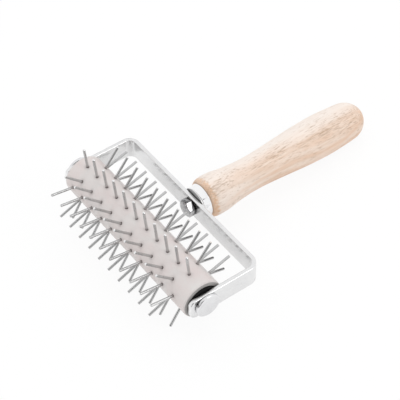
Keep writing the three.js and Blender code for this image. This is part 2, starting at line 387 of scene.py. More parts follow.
def stretched(tree, vector, sizes, detail=2.0, rough=0.5):
    """Soft noise whose patches have a size of their own along each axis."""
    return cloud(tree, vector_math(tree, "DIVIDE", {0: vector, 1: sizes}), 1, detail, rough)


def stored(tree, name):
    """A value that the mesh stores at its points."""
    return add_node(tree, "ShaderNodeAttribute", {}, attribute_name=name).outputs["Fac"]


tool_place, _, result = effect("tool_place", [], ["Place"], "NodeSocketVector")
spot = add_node(tool_place, "ShaderNodeTexCoord", {})
to_tool = add_node(tool_place, "ShaderNodeMapping", {
    "Vector": spot.outputs["Object"], "Location": FROM_TABLE.translation / MM,
    "Rotation": FROM_TABLE.to_euler(), "Scale": (1 / MM, 1 / MM, 1 / MM),
})
tool_place.links.new(to_tool.outputs["Vector"], result["Place"])
print("group:", tool_place.name)

# %% [markdown]
# Rolled and drawn steel carries fine straight lines, and so do wood and drawn plastic. A turned
# piece has its lines round the axis. Noise does both: it is stretched along the line and
# squeezed across it. On a turned piece it is read off the radius and the place on the axis,
# and the direction round the axis only moves it a little, so the rings have no seam. Noise
# stays near a half, so a pair of values says where in it an effect begins and where it is full.

# %% Lines
NOISE_LOW = 0.3
NOISE_HIGH = 0.7

straight_lines, given, result = effect(
    "straight_lines", [("Place", None), ("Line Length", 30.0), ("Line Width", 0.15)], ["Lines"],
)
tree = straight_lines
sizes = combined(tree, {0: given["Line Length"], 1: given["Line Width"], 2: given["Line Width"]})
lines = stretched(tree, given["Place"], sizes, detail=2.5, rough=0.6)
tree.links.new(spread(tree, lines, NOISE_LOW, NOISE_HIGH), result["Lines"])

turned_lines, given, result = effect(
    "turned_lines", [("Across And Along", None), ("Line Width", 0.2), ("Round Share", 0.6)], ["Lines"],
)
tree = turned_lines
parts = parts_of(tree, given["Across And Along"])
across = combined(tree, {0: parts[0], 1: parts[1]})
radius = vector_math(tree, "LENGTH", {0: across}, "Value")
way = vector_math(tree, "NORMALIZE", {0: across})
way = vector_math(tree, "SCALE", {0: way, "Scale": given["Round Share"]})
rings = combined(tree, {2: calc(tree, "DIVIDE", radius, given["Line Width"])})
ring_noise = add_node(tree, "ShaderNodeTexNoise", {
    "Vector": vector_math(tree, "ADD", {0: way, 1: rings}),
    "W": calc(tree, "DIVIDE", parts[2], given["Line Width"]),
    "Scale": 1.0, "Detail": 2.0, "Roughness": 0.55,
}, noise_dimensions="4D")
tree.links.new(spread(tree, ring_noise.outputs[0], NOISE_LOW, NOISE_HIGH), result["Lines"])
print("groups:", straight_lines.name, turned_lines.name)

# %% [markdown]
# A tool that has been handled has soft smudges, a few hair scratches and bright worn edges. The
# scratches are noise again, stretched a hundredfold in two directions and cut off so high that
# only its crests are left. The worn edges follow a value that each mesh stores on its rounded
# edges.

# %% Handling marks and worn edges
SCRATCH_AXIS = (0.3, 0.5, 0.8)
SCRATCH_WAYS = (0.5, 2.2)
SCRATCH_STRETCH = 90
SCRATCH_SHOWS = (0.71, 0.76)
SMUDGE_SHOWS = (0.42, 0.68)
WEAR_SHOWS = (0.35, 0.6)
LEAST_WEAR = 0.25

handling, given, result = effect(
    "handling", [("Place", None), ("Patch Size", 9.0), ("Scratch Width", 0.12)], ["Smudge", "Scratch"],
)
tree = handling
patch = cloud(tree, given["Place"], given["Patch Size"], detail=4, rough=0.6, bend=0.8)
tree.links.new(spread(tree, patch, *SMUDGE_SHOWS), result["Smudge"])
long_way = times(tree, given["Scratch Width"], SCRATCH_STRETCH)
sizes = combined(tree, {0: long_way, 1: given["Scratch Width"], 2: long_way})
crests = []
for turned_by in SCRATCH_WAYS:
    turned = add_node(tree, "ShaderNodeVectorRotate", {
        "Vector": given["Place"], "Axis": SCRATCH_AXIS, "Angle": turned_by,
    }).outputs["Vector"]
    crests.append(spread(tree, stretched(tree, turned, sizes, detail=1), *SCRATCH_SHOWS))
tree.links.new(calc(tree, "MAXIMUM", *crests), result["Scratch"])

worn_edge, given, result = effect("worn_edge", [("Place", None), ("Patch Size", 1.5)], ["Wear"])
tree = worn_edge
patchy = cloud(tree, given["Place"], given["Patch Size"], detail=3)
patchy = spread(tree, patchy, *WEAR_SHOWS, LEAST_WEAR)
tree.links.new(times(tree, stored(tree, "edge"), patchy), result["Wear"])
print("groups:", handling.name, worn_edge.name)

# %% [markdown]
# Moulded plastic is never quite even: it has soft clouds of colour and a fine grain from the
# mould. One group gives both to the warm grey sleeve and the black plugs.

# %% Moulded surface
moulded, given, result = effect(
    "moulded", [("Place", None), ("Cloud Size", 12.0), ("Grain Size", 0.35)], ["Cloud", "Grain"],
)
tree = moulded
soft = cloud(tree, given["Place"], given["Cloud Size"], detail=3, bend=0.4)
tree.links.new(spread(tree, soft, NOISE_LOW, NOISE_HIGH), result["Cloud"])
grain = cloud(tree, given["Place"], given["Grain Size"], rough=0.7)
tree.links.new(grain, result["Grain"])
print("group:", moulded.name)

# %% [markdown]
# Each finish is a material of its own round a Principled BSDF. What is the same all over is
# set on the shader. Colour, roughness and a slight bump follow the effects. A bump's depth is
# given in millimetres, as on the real surface.


# %% Helpers for finishes
SMUDGE_SHARE = 0.6
LINE_SHARE = 0.4
EDGE_SHARE = 0.8
EDGE_GAIN = 1.12
LEAST_ROUGH = 0.75
MOST_ROUGH = 1.5
SCRATCH_ROUGH = 0.15
SCRATCH_DEPTH = 2.0


def finish(name, metallic=0.0, specular=0.5):
    """A new material, its node tree, its shader and the place in the tool's axes."""
    material = bpy.data.materials.new(name)
    material.use_nodes = True
    tree = material.node_tree
    shader = tree.nodes["Principled BSDF"]
    shader.inputs["Metallic"].default_value = metallic
    shader.inputs["Specular IOR Level"].default_value = specular
    return material, tree, shader, use(tree, tool_place, {})["Place"]


def dress(tree, shader, color, roughness, height, depth):
    """Link a finish to its shader. depth is how deep the height's full range is, in mm."""
    tree.links.new(color, shader.inputs["Base Color"])
    tree.links.new(roughness, shader.inputs["Roughness"])
    bump = add_node(tree, "ShaderNodeBump", {"Strength": 1.0, "Distance": depth * MM, "Height": height})
    tree.links.new(bump.outputs["Normal"], shader.inputs["Normal"])


def facing(tree, way):
    """How squarely the surface faces a way: 1 towards it, -1 away from it."""
    normal = add_node(tree, "ShaderNodeTexCoord", {}).outputs["Normal"]
    return vector_math(tree, "DOT_PRODUCT", {0: normal, 1: way}, "Value")


def lines_round(tree, place, along, line_width=0.2):
    """Lines round the tool's X axis, where along is 0, or its Y axis, where it is 1."""
    parts = parts_of(tree, place)
    axis_place = combined(tree, {0: parts[1 - along], 1: parts[2], 2: parts[along]})
    return use(tree, turned_lines, {"Across And Along": axis_place, "Line Width": line_width})["Lines"]


def metal_look(tree, shader, place, lines, color, dull, rough, depth):
    """Steel or brass with lines, smudges, hair scratches and bright edges."""
    marks = use(tree, handling, {"Place": place})
    wear = use(tree, worn_edge, {"Place": place})["Wear"]
    shade = times(tree, marks["Smudge"], SMUDGE_SHARE)
    shade = plus(tree, shade, times(tree, lines, LINE_SHARE))
    bright = tuple(min(1.0, c * EDGE_GAIN) for c in color)
    base = coated_color(tree, color, [(shade, dull), (times(tree, wear, EDGE_SHARE), bright)])
    roughness = spread(tree, shade, 0, 1, rough * LEAST_ROUGH, rough * MOST_ROUGH)
    roughness = plus(tree, roughness, times(tree, marks["Scratch"], SCRATCH_ROUGH))
    height = calc(tree, "SUBTRACT", lines, times(tree, marks["Scratch"], SCRATCH_DEPTH))
    dress(tree, shader, base, roughness, height, depth)


def turned_metal(name, along, color, dull, rough, depth):
    """A turned or pressed metal piece, with its lines round the axis."""
    material, tree, shader, place = finish(name, metallic=1.0)
    metal_look(tree, shader, place, lines_round(tree, place, along), color, dull, rough, depth)
    return material


print("finish helpers ready")

# %% [markdown]
# The strap is cold-rolled bar: its lines run along it and follow its bends, so they are read
# from the strap's own UV map, in metres along and round the bar. The axle's head, the riveted
# disc and the ferrule are plated bright, and the insert is brass. The collar's rim is bright
# too, and its face towards the strap is painted dark, as painted shade from the strap.

# %% Metals
ALONG_X = 0
ALONG_Y = 1
BAR_GREY = (0.82, 0.82, 0.822)
BAR_DULL = (0.765, 0.765, 0.77)
HEAD_BRIGHT = (0.81, 0.81, 0.82)
HEAD_DULL = (0.73, 0.73, 0.74)
FERRULE_BRIGHT = (0.93, 0.93, 0.935)
FERRULE_DULL = (0.87, 0.87, 0.875)
BRASS_YELLOW = (0.78, 0.6, 0.3)
BRASS_DULL = (0.6, 0.42, 0.18)
BRIGHT_RIM = (0.8, 0.8, 0.8)
STRAP_FACING_SHADE = (0.45, 0.45, 0.45)
STRAP_FACING_START = -0.9
STRAP_FACING_END = -0.5
DARK_LINES = (0.25, 0.25, 0.25)
DARK_LINE_SHARE = 0.3
DARK_ROUGH = (0.25, 0.42)

strap_steel, tree, shader, place = finish("strap_steel", metallic=1.0)
bar_map = add_node(tree, "ShaderNodeUVMap", {}, uv_map="along_bar").outputs["UV"]
bar_place = vector_math(tree, "SCALE", {0: bar_map, "Scale": 1 / MM})
lines = use(tree, straight_lines, {
    "Place": bar_place, "Line Length": 45.0, "Line Width": 0.28,
})["Lines"]
metal_look(tree, shader, place, lines, BAR_GREY, BAR_DULL, rough=0.2, depth=0.002)

head_steel = turned_metal("head_steel", ALONG_X, HEAD_BRIGHT, HEAD_DULL, rough=0.2, depth=0.003)
ferrule_steel = turned_metal(
    "ferrule_steel", ALONG_Y, FERRULE_BRIGHT, FERRULE_DULL, rough=0.1, depth=0.001,
)
brass = turned_metal("brass", ALONG_Y, BRASS_YELLOW, BRASS_DULL, rough=0.28, depth=0.004)

dark_steel, tree, shader, place = finish("dark_steel", metallic=1.0)
lines = lines_round(tree, place, ALONG_Y)
# The collar's face that looks towards the strap is painted dark: painted shade from the strap close in front of
# it.
base = coated_color(tree, BRIGHT_RIM, [
    (spread(tree, facing(tree, tool_y), STRAP_FACING_START, STRAP_FACING_END, 1, 0), STRAP_FACING_SHADE),
    (times(tree, lines, DARK_LINE_SHARE), DARK_LINES),
])
dress(tree, shader, base, spread(tree, lines, 0, 1, *DARK_ROUGH), lines, depth=0.004)
print("metals:", strap_steel.name, head_steel.name, ferrule_steel.name, dark_steel.name, brass.name)

# %% [markdown]
# The screw's head is darker steel, blotched like zinc that has been handled. The band where it
# sits on the strap is painted near black, as painted shade. The pins are drawn wire: grey shafts
# with lines along them, a foot painted darker as painted shade where they stand in the sleeve,
# and a cut end painted brighter, partly as bare cut steel and partly as a painted highlight. How
# far out a point lies is its distance from the roller's axis, and a value stored for each pin
# makes some pins a little lighter than others.

# %% Screw and pins
HEAD_GREY = (0.56, 0.56, 0.565)
HEAD_BLOTCH = (0.34, 0.34, 0.345)
HEAD_RUBBED = (0.7, 0.7, 0.71)
BLOTCH_SIZE = 1.3
BLOTCH_SHOWS = (0.4, 0.62)
SEAT_SHADE_COLOR = (0.05, 0.048, 0.045)
SEAT_SHADE_SHARE = 0.9
SCREW_ROUGH = (0.12, 0.24)
WIRE = (0.57, 0.57, 0.57)
WIRE_LINES = (0.46, 0.46, 0.46)
WIRE_LINE_SIZES = (0.18, 0.9, 0.9)
WIRE_ROUGH = (0.14, 0.26)
LIGHT_WIRE = (0.68, 0.68, 0.68)
LIGHT_SHARE = 0.35
PAINTED_FOOT_SHADE = (0.2, 0.17, 0.16)
BRIGHT_CUT_AND_HIGHLIGHT = (0.85, 0.85, 0.85)
FOOT_SHADE_SHARE = 0.6
FOOT_SHADE_START = 12.4
FOOT_SHADE_END = 14.8
CUT_HIGHLIGHT_START = 27.2
CUT_HIGHLIGHT_FULL = 27.45

screw_steel, tree, shader, place = finish("screw_steel", metallic=1.0)
blotch = cloud(tree, place, BLOTCH_SIZE, detail=4, rough=0.65, bend=0.6)
blotch = spread(tree, blotch, *BLOTCH_SHOWS)
base = coated_color(tree, HEAD_GREY, [
    (blotch, HEAD_BLOTCH),
    (use(tree, worn_edge, {"Place": place})["Wear"], HEAD_RUBBED),
    # The band where the head sits on the strap is painted near black: painted shade.
    (times(tree, stored(tree, "grime"), SEAT_SHADE_SHARE), SEAT_SHADE_COLOR),
])
dress(tree, shader, base, spread(tree, blotch, 0, 1, *SCREW_ROUGH), blotch, depth=0.01)

pin_steel, tree, shader, place = finish("pin_steel", metallic=1.0)
parts = parts_of(tree, place)
from_axis = combined(tree, {0: parts[1], 1: parts[2]})
far_out = vector_math(tree, "LENGTH", {0: from_axis}, "Value")
wire_lines = stretched(tree, place, WIRE_LINE_SIZES)
base = coated_color(tree, WIRE, [
    (wire_lines, WIRE_LINES),
    (times(tree, stored(tree, "pin_tone"), LIGHT_SHARE), LIGHT_WIRE),
    # The foot is painted darker: painted shade where the pin stands in the sleeve.
    (spread(tree, far_out, FOOT_SHADE_START, FOOT_SHADE_END, FOOT_SHADE_SHARE, 0), PAINTED_FOOT_SHADE),
    # The cut end is painted brighter: partly bare cut steel, partly a painted highlight.
    (spread(tree, far_out, CUT_HIGHLIGHT_START, CUT_HIGHLIGHT_FULL), BRIGHT_CUT_AND_HIGHLIGHT),
])
roughness = spread(tree, wire_lines, NOISE_LOW, NOISE_HIGH, *WIRE_ROUGH)
dress(tree, shader, base, roughness, wire_lines, depth=0.003)
print("steels:", screw_steel.name, pin_steel.name)

# %% [markdown]
# The sleeve is satin plastic of a warm, slightly pink grey. Close to the pins and in the pits
# at their feet it is painted darker, as painted shade. Its two end faces and their rounded
# edges are painted grey, as painted shade in the narrow gap by the strap's arms. The plugs are
# the same kind of moulding in black.


# %% Plastics
END_INSET = 0.1
END_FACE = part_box("pin_roller")[1][0] / MM - END_INSET
END_SOFTNESS = 0.15
# The sleeve's end face colour is painted shade, from the narrow gap by the strap's arms.
END_FACE_SHADE = (0.34, 0.33, 0.32)
NEAR_PIN_SHARE = 0.3
NEAR_PIN_DARK = 0.6
SMUDGE_ROUGH = 0.12
PLASTIC_SCRATCH = 0.6
PLASTIC_WORN_PATCH = 4.0
PLASTIC_SMUDGE_PATCH = 14.0
GREYISH = (0.7, 0.671, 0.657)
PINKISH = (0.695, 0.62, 0.605)
# The sleeve's rounded end edges get this colour: painted shade by the strap's arms.
END_RIM_SHADE = (0.62, 0.58, 0.565)
PIT_SHADE = (0.42, 0.34, 0.32)
PIT_DARK = (0.34, 0.28, 0.26)
BLACK = (0.005, 0.005, 0.005)
DUSTY_BLACK = (0.012, 0.012, 0.012)
RUBBED_BLACK = (0.025, 0.025, 0.025)


def plastic(name, color, other, edge_color, rough, depth, cloud_size, specular, end_shade_share=0.0):
    """Satin moulded plastic with soft clouds, a fine grain and edges of a colour of their own."""
    material, tree, shader, place = finish(name, specular=specular)
    skin = use(tree, moulded, {"Place": place, "Cloud Size": cloud_size})
    wear = use(tree, worn_edge, {"Place": place, "Patch Size": PLASTIC_WORN_PATCH})["Wear"]
    marks = use(tree, handling, {"Place": place, "Patch Size": PLASTIC_SMUDGE_PATCH})
    far_out = calc(tree, "ABSOLUTE", parts_of(tree, place)[0])
    # The end faces are painted dark: painted shade in the gap by the strap's arms.
    at_end = spread(tree, far_out, END_FACE - END_SOFTNESS, END_FACE)
    base = coated_color(tree, color, [
        (skin["Cloud"], other),
        # On the sleeve this edge colour is painted shade on its rounded ends; on the plugs it is wear.
        (wear, edge_color),
        # Darker close to the pins: painted shade round their feet.
        (times(tree, stored(tree, "near_pin"), NEAR_PIN_SHARE), tuple(c * NEAR_PIN_DARK for c in other)),
        (times(tree, at_end, end_shade_share), END_FACE_SHADE),
    ])
    roughness = spread(tree, marks["Smudge"], 0, 1, rough, rough + SMUDGE_ROUGH)
    height = calc(tree, "SUBTRACT", skin["Grain"], times(tree, marks["Scratch"], PLASTIC_SCRATCH))
    dress(tree, shader, base, roughness, height, depth)
    return material


# The sleeve's edge colour and end share are painted shade in the gap by the strap's arms.
sleeve_plastic = plastic(
    "sleeve_plastic", GREYISH, PINKISH, END_RIM_SHADE,
    rough=0.42, depth=0.012, cloud_size=11.0, specular=0.4, end_shade_share=0.95,
)
# The pit plastic is darker than the sleeve: painted shade in the pits at the pins' feet.
pit_plastic = plastic(
    "pit_plastic", PIT_SHADE, PIT_DARK, PIT_DARK, rough=0.6, depth=0.02, cloud_size=3.0, specular=0.3,
)
plug_plastic = plastic(
    "plug_plastic", BLACK, DUSTY_BLACK, RUBBED_BLACK,
    rough=0.5, depth=0.02, cloud_size=4.0, specular=0.06,
)
print("plastics:", sleeve_plastic.name, pit_plastic.name, plug_plastic.name)

# %% [markdown]
# The handle is pale open-pored wood. A plank's growth layers are nearly flat sheets, so they
# are bands of one slanted distance, bent by slow noise. Fibres are stretched noise, and pores
# are the crests of noise stretched less: short thin dashes along the grain, crowded in some
# layers and rare in others. End grain drinks more oil and soiling, so the butt is a little tan.
# Next to the ferrule a tan band is painted, partly as that stain on the shoulder and partly as
# painted shade, heavier on the lower side. The side that faces up and to the left is painted
# paler, as painted light, and the wood is paler too towards the ferrule, fading out along the
# handle.

# %% The wood's figure
LAYER_WIDTH = 4.2
LAYER_WAY = (0.45, 0, 0.9)
LAYER_BEND = 26
BEND_SIZES = (14, 60, 14)
BAND_START = 0.3
FIBRE_SIZES = (0.4, 11, 0.4)
STREAK_SIZES = (2.2, 35, 2.2)
CROWD_SIZES = (6, 40, 6)
CROWD_SHOWS = (0.35, 0.65)
PORE_SIZES = (0.4, 5.0, 0.4)
PORE_SHOWS = (0.58, 0.66)
HAIR_SIZES = (0.4, 18, 0.4)
HAIR_SHOWS = (0.53, 0.63)
HAIR_SHARE = 0.4
MARKED_SIDE = (-0.8, 0, 0.6)
MARKED_AT = 1.0
MARKED_START = 2.0
MARKED_END = 9.0
CROWDED_START = 46.0
CROWDED_END = 60.0

wood, tree, shader, place = finish("wood")
along_handle = parts_of(tree, place)[1]
layer = vector_math(tree, "DOT_PRODUCT", {0: place, 1: LAYER_WAY}, "Value")
layer = plus(tree, layer, times(tree, stretched(tree, place, BEND_SIZES), LAYER_BEND))
band = spread(tree, calc(tree, "PINGPONG", layer, LAYER_WIDTH), BAND_START * LAYER_WIDTH, LAYER_WIDTH)
fibre = stretched(tree, place, FIBRE_SIZES, detail=3, rough=0.6)
streak = stretched(tree, place, STREAK_SIZES, detail=3, rough=0.55)
sideways = vector_math(tree, "DOT_PRODUCT", {0: place, 1: MARKED_SIDE}, "Value")
off_middle = calc(tree, "ABSOLUTE", calc(tree, "SUBTRACT", sideways, MARKED_AT))
crowd = spread(tree, stretched(tree, place, CROWD_SIZES), *CROWD_SHOWS, -0.06, 0.05)
for value, start, end, more_at_start, more_at_end in (
    (band, 0, 1, 0.02, -0.03),
    (off_middle, MARKED_START, MARKED_END, 0.025, -0.05),
    (along_handle, CROWDED_START, CROWDED_END, 0.05, 0),
):
    crowd = plus(tree, crowd, spread(tree, value, start, end, more_at_start, more_at_end))
dash = stretched(tree, place, PORE_SIZES, rough=0.55)
pore = spread(tree, plus(tree, dash, crowd), *PORE_SHOWS)
long_dash = stretched(tree, place, HAIR_SIZES)
hair = spread(tree, plus(tree, long_dash, crowd), *HAIR_SHOWS, 0, HAIR_SHARE)
print("wood figure: layers, fibres, streaks, pores and hairlines")

# %% The wood's colour
PALE = (0.87, 0.71, 0.6)
PEACH = (0.82, 0.585, 0.44)
STREAK = (0.7, 0.47, 0.32)
STREAK_SHOWS = (0.42, 0.68)
STREAK_SHARE = 0.68
FIBRE = (0.9, 0.78, 0.69)
FIBRE_SHOWS = (0.42, 0.7)
FIBRE_SHARE = 0.36
# Pale colour: painted light on the side that faces up and to the left, and paler wood towards the ferrule.
PALE_AND_LIT = (0.93, 0.87, 0.82)
TAN = (0.76, 0.44, 0.23)
TAN_START = 49.3
TAN_END = 50.6
TAN_BELOW = -9.0
TAN_ABOVE = 9.0
TAN_ABOVE_SHARE = 0.7
END_GRAIN_START = 0.45
END_GRAIN_SHARE = 0.3
RAGGED = 6.0
RAGGED_SIZES = (1.2, 3.5, 1.2)
MOTTLE_SIZES = (0.6, 1.3, 0.6)
MOTTLE_SHOWS = (0.4, 0.56)
LEAST_MOTTLE = 0.35
LIT_SIDE_START = 0.5
LIT_SIDE_END = 9.0
LIT_SIDE_SHARE = 0.75
NECK_START = 52.0
NECK_END = 90.0
NECK_SHARE = 0.45
PORE = (0.42, 0.26, 0.15)
PORE_SHARE = 0.58
WOOD_ROUGH = (0.5, 0.62)
FIBRE_HEIGHT = 0.35

end_grain = spread(tree, facing(tree, tool_y), END_GRAIN_START, 1, 0, END_GRAIN_SHARE)
ragged = stretched(tree, place, RAGGED_SIZES, detail=4, rough=0.65)
near_ferrule = plus(tree, along_handle, times(tree, ragged, RAGGED))
near_ferrule = spread(tree, near_ferrule, TAN_START, TAN_END, 1, 0)
# The tan band next to the ferrule is heavier on the lower side: painted shade.
lower_side_shade = spread(tree, parts_of(tree, place)[2], TAN_BELOW, TAN_ABOVE, 1, TAN_ABOVE_SHARE)
mottle = stretched(tree, place, MOTTLE_SIZES, detail=3, rough=0.6)
mottle = spread(tree, mottle, *MOTTLE_SHOWS, LEAST_MOTTLE)
# The tan is stain on the end grain at the butt; next to the ferrule it is partly stain and partly painted shade.
tan = calc(tree, "MAXIMUM", end_grain, times(tree, times(tree, near_ferrule, lower_side_shade), mottle))
# The side that faces up and to the left is painted paler: painted light.
lit_side_paling = spread(tree, sideways, LIT_SIDE_START, LIT_SIDE_END, 0, LIT_SIDE_SHARE)
pale_neck = spread(tree, along_handle, NECK_START, NECK_END, NECK_SHARE, 0)

base = coated_color(tree, PALE, [
    (band, PEACH),
    (spread(tree, streak, *STREAK_SHOWS, 0, STREAK_SHARE), STREAK),
    (spread(tree, fibre, *FIBRE_SHOWS, 0, FIBRE_SHARE), FIBRE),
    (hair, STREAK),
    (calc(tree, "MAXIMUM", lit_side_paling, pale_neck), PALE_AND_LIT),
    (tan, TAN),
    (times(tree, pore, PORE_SHARE), PORE),
])
roughness = spread(tree, fibre, NOISE_LOW, NOISE_HIGH, *WOOD_ROUGH)
height = calc(tree, "SUBTRACT", times(tree, fibre, FIBRE_HEIGHT), pore)
dress(tree, shader, base, roughness, height, depth=0.06)
print("wood:", wood.name)

# %% [markdown]
# Nearly every piece of this tool was turned on a lathe or bent from a bar. The measured model
# holds the outline of each turned piece, but its edges are sharp and its rounds are coarse.
# So an outline is read off the model, its corners are rounded as a lathe or a die leaves
# them, and it is spun again in fine steps. Each rounded corner is marked on the mesh, so that
# the finishes know where an edge is: most rub it bright, and the sleeve paints it darker, as
# painted shade.

# %% Helpers for turned pieces
WELD = 0.002 * MM
ROUND_STEPS = 4
SHARED_REACH = 0.49
TURN_SIDES = 96
SHARP_ANGLE = math.radians(32)


def outline_of(node, along):
    """A turned node's outline as (place, radius) corners. along is the axis, 0 for X or 1 for Y."""
    bm = bmesh.new()
    bm.from_mesh(nodes[node].data)
    bm.transform(FROM_TABLE)
    bmesh.ops.remove_doubles(bm, verts=bm.verts, dist=WELD)
    across = 1 - along
    here = {v for v in bm.verts if abs(v.co[across]) < 2 * WELD and v.co.z > -2 * WELD}
    beside = {v: [e.other_vert(v) for e in v.link_edges if e.other_vert(v) in here] for v in here}
    ends = [v for v in here if len(beside[v]) == 1] or list(here)
    walk = [min(ends, key=lambda v: (v.co[along], v.co.z))]
    while True:
        onward = [v for v in beside[walk[-1]] if v not in walk]
        if not onward:
            break
        walk.append(onward[0])
    corners = [(v.co[along], max(v.co.z, 0.0)) for v in walk]
    bm.free()
    return corners


def rounded(corners, sizes, closed):
    """The outline as (place, radius, edge), with each corner cut to an arc of its own size."""
    points = []
    last = len(corners) - 1
    for i, (corner, size) in enumerate(zip(corners, sizes)):
        here = Vector(corner)
        if size == 0 or not closed and i in (0, last):
            points.append((*here, 0.0))
            continue
        before = Vector(corners[i - 1]) - here
        after = Vector(corners[(i + 1) % len(corners)]) - here
        reach = min(size, before.length * SHARED_REACH, after.length * SHARED_REACH)
        start = here + before.normalized() * reach
        end = here + after.normalized() * reach
        bend_angle = math.pi - before.angle(after)
        for step in range(ROUND_STEPS + 1):
            t = step / ROUND_STEPS
            spot = start * (1 - t) ** 2 + here * (2 * t * (1 - t)) + end * t ** 2
            points.append((*spot, math.sin(math.pi * t) * min(1.0, bend_angle)))
    return points


def show(name, mesh, *materials):
    """Make an object of a mesh that is already in place, with soft and sharp edges."""
    mesh.materials.clear()
    for material in materials:
        mesh.materials.append(material)
    mesh.shade_smooth()
    mesh.set_sharp_from_angle(angle=SHARP_ANGLE)
    return placed(name, mesh)


def mesh_from(bm, name, **marks):
    """The mesh of a bmesh, its faces turned outward, with a list of point values for each name."""
    bmesh.ops.recalc_face_normals(bm, faces=bm.faces)
    mesh = bpy.data.meshes.new(name)
    bm.to_mesh(mesh)
    bm.free()
    for label, values in marks.items():
        mesh.attributes.new(label, "FLOAT", "POINT").data.foreach_set("value", values)
    return mesh


def spun(name, outline, along, closed, material, sides=TURN_SIDES):
    """Spin an outline of (place, radius, edge) about the tool's X axis, 0, or Y axis, 1."""
    bm = bmesh.new()
    loops = []
    edges = []
    for place, radius, edge in outline:
        count = sides if radius > WELD else 1
        loop = []
        for i in range(count):
            angle = 2 * math.pi * i / sides
            spot = Vector((0, 0, radius * math.cos(angle) if count > 1 else 0))
            spot[along] = place
            spot[1 - along] = radius * math.sin(angle) if count > 1 else 0
            loop.append(bm.verts.new(TOOL @ spot))
            edges.append(edge)
        loops.append(loop)
    pairs = list(zip(loops, loops[1:]))
    if closed:
        pairs.append((loops[-1], loops[0]))
    for first, second in pairs:
        for i in range(sides):
            j = (i + 1) % sides
            near = first[i % len(first)], second[i % len(second)]
            far = second[j % len(second)], first[j % len(first)]
            face = list(dict.fromkeys(near + far))
            if len(face) > 2:
                bm.faces.new(face)
    return show(name, mesh_from(bm, name, edge=edges), material)


def baked(made):
    """The object's own mesh, with its modifiers worked in and taken off."""
    graph = bpy.context.evaluated_depsgraph_get()
    mesh = bpy.data.meshes.new_from_object(made.evaluated_get(graph))
    made.modifiers.clear()
    return mesh


def stands_for(made, node, body):
    """The piece stands in for a measured node: the node is hidden and the piece moves with its body."""
    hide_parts(node)
    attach(made, body)
    print(f"{made.name}: {len(made.data.polygons)} faces, for {node}")


# %% [markdown]
# The pins stand in ten rows round the sleeve. Their places are read off the measured roller,
# whose farthest points fall into one small group for each pin. A Geometry Nodes tree then
# stands one pin on each place, so a pin is drawn once and its sizes are named inputs.

# %% Where the pins stand
PIN_ROOT = 1.4 * MM
NEAR_TIP = 0.1 * MM
TIP_GROUP = 3 * MM
NO_PINS = 2 * MM

roller_points = measured("pin_roller")
reach = [math.hypot(p.y, p.z) for p in roller_points]
tip_radius = max(reach)
bore_radius = min(reach)
sleeve_end = max(p.x for p in roller_points)
sleeve_radius = max(r for p, r in zip(roller_points, reach) if p.x > sleeve_end - NO_PINS)
groups = []
for point, distance in zip(roller_points, reach):
    if distance < tip_radius - NEAR_TIP:
        continue
    near = next((g for g in groups if (g[0] - point).length < TIP_GROUP), None)
    if near:
        near.append(point)
    else:
        groups.append([point])
pin_ends = [sum(g, Vector()) / len(g) for g in groups]
outward = [Vector((0, p.y, p.z)).normalized() for p in pin_ends]
pin_roots = [Vector((p.x, 0, 0)) + d * (sleeve_radius - PIN_ROOT) for p, d in zip(pin_ends, outward)]
print(f"{len(pin_ends)} pins, sleeve radius {sleeve_radius / MM:.2f} mm, bore {bore_radius / MM:.2f} mm")

places_mesh = bpy.data.meshes.new("pin_places")
places_mesh.from_pydata([TOOL @ p for p in pin_roots], [], [])
ways = places_mesh.attributes.new("outward", "FLOAT_VECTOR", "POINT")
ways.data.foreach_set("vector", [c for d in outward for c in TOOL.to_3x3() @ d])
pin_places = placed("pin_places", places_mesh)


# %% Helpers for Geometry Nodes
def node_tree(name, **inputs):
    """A Geometry Nodes tree with a geometry input and output, and inputs listed by their kind."""
    tree = bpy.data.node_groups.new(name, "GeometryNodeTree")
    face = tree.interface
    face.new_socket(name="Geometry", in_out="INPUT", socket_type="NodeSocketGeometry")
    for kind, labels in inputs.items():
        for label in labels:
            face.new_socket(name=label, in_out="INPUT", socket_type=f"NodeSocket{kind}")
    face.new_socket(name="Geometry", in_out="OUTPUT", socket_type="NodeSocketGeometry")
    return tree, tree.nodes.new("NodeGroupInput").outputs, tree.nodes.new("NodeGroupOutput").inputs


def run_tree(made, tree, values):
    """Put the tree on the object with its inputs set by identifier, and return the plain mesh."""
    modifier = made.modifiers.new(tree.name, "NODES")
    modifier.node_group = tree
    for socket in tree.interface.items_tree:
        if socket.in_out == "INPUT" and socket.name in values:
            modifier[socket.identifier] = values[socket.name]
    return baked(made)


def shape_node(tree, kind, values, **settings):
    """The geometry that a node gives out."""
    return add_node(tree, kind, values, **settings).outputs["Geometry"]


def rod(tree, sides, radius, length):
    """The outputs of a cylinder that stands along Z with its middle at 0."""
    return add_node(tree, "GeometryNodeMeshCylinder", {
        "Vertices": sides, "Radius": radius, "Depth": length,
    }).outputs


def raised(tree, shape, height):
    """The shape moved up by a height."""
    lift = combined(tree, {2: height})
    return shape_node(tree, "GeometryNodeTransform", {"Geometry": shape, "Translation": lift})


def outward_way(tree):
    """The way out from the roller's axis, which each pin's place stores."""
    node = add_node(tree, "GeometryNodeInputNamedAttribute", {"Name": "outward"}, data_type="FLOAT_VECTOR")
    return node.outputs["Attribute"]


def standing(tree, points, shape):
    """Stand a shape on every point, turned outward."""
    turn_out = add_node(tree, "FunctionNodeAlignRotationToVector", {"Vector": outward_way(tree)}, axis="Z")
    return add_node(tree, "GeometryNodeInstanceOnPoints", {
        "Points": points, "Instance": shape, "Rotation": turn_out.outputs["Rotation"],
    }).outputs["Instances"]


def realized(tree, instances):
    """The instances as one plain mesh."""
    return shape_node(tree, "GeometryNodeRealizeInstances", {"Geometry": instances})


def coated(tree, shape, material):
    """The shape with a material set on it."""
    return shape_node(tree, "GeometryNodeSetMaterial", {"Geometry": shape, "Material": material})


